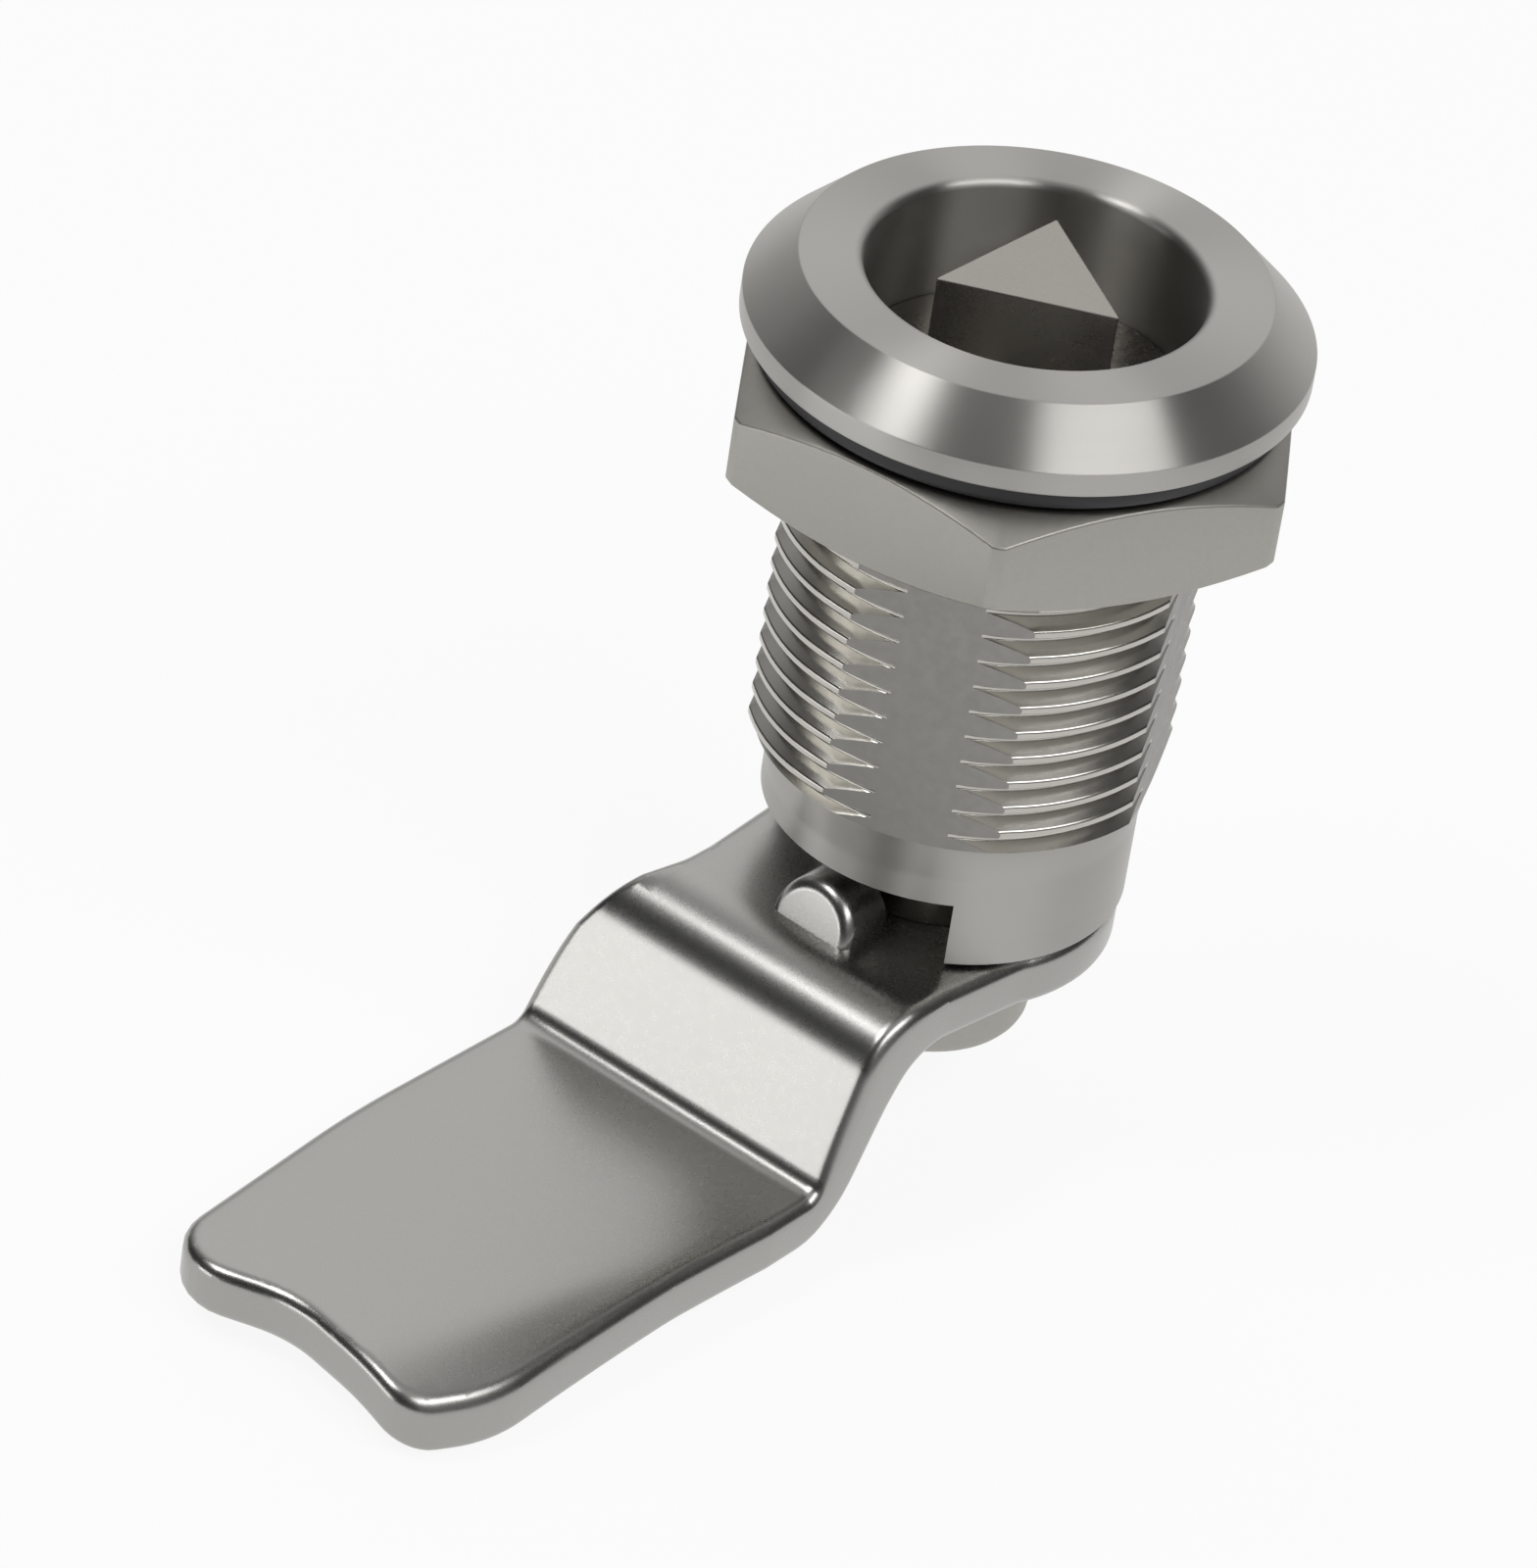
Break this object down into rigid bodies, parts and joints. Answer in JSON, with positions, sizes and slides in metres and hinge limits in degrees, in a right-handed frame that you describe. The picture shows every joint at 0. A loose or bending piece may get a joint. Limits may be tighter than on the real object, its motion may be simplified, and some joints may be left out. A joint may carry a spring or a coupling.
{
  "type": "quarter-turn cam lock",
  "caption": "Quarter-turn cam lock for an enclosure door: bevelled head with a recessed triangle key, threaded body with flats, panel nut and S-bent cam.",
  "frame": {"origin": "on the lock's axis, in the plane where the underside of the head sits on the panel", "axes": "+Z along the axis, out of the door towards the key; -Y along the cam in the rest pose; +X to the side of the blade's rolled-down corner"},
  "size_m": [0.0306, 0.0591, 0.0482],
  "materials": {
    "body_steel": "turned satin",
    "nut_steel": "satin",
    "spindle_steel": "satin",
    "cam_steel": "tumbled satin",
    "spring_steel": "plain",
    "screw_steel": "plain",
    "black_rubber": "matt"
  },
  "bodies": {
    "body": {"housing": "body_steel", "head_gasket": "black_rubber"},
    "nut": {"hex_nut": "nut_steel"},
    "core": {"spindle": "spindle_steel", "spindle_o_ring": "black_rubber", "cam": "cam_steel", "spring_washer": "spring_steel", "cam_screw": "screw_steel"}
  },
  "joints": [
    {"name": "cam_turn", "type": "hinge", "parent": "body", "child": "core", "pos_m": [0, 0, 0], "axis": [0, 0, 1], "range_deg": [-64.1, 25.9]},
    {"name": "nut_run", "type": "slide", "parent": "body", "child": "nut", "axis": [0, 0, -1], "range_m": [0, 0.0155]}
  ]
}
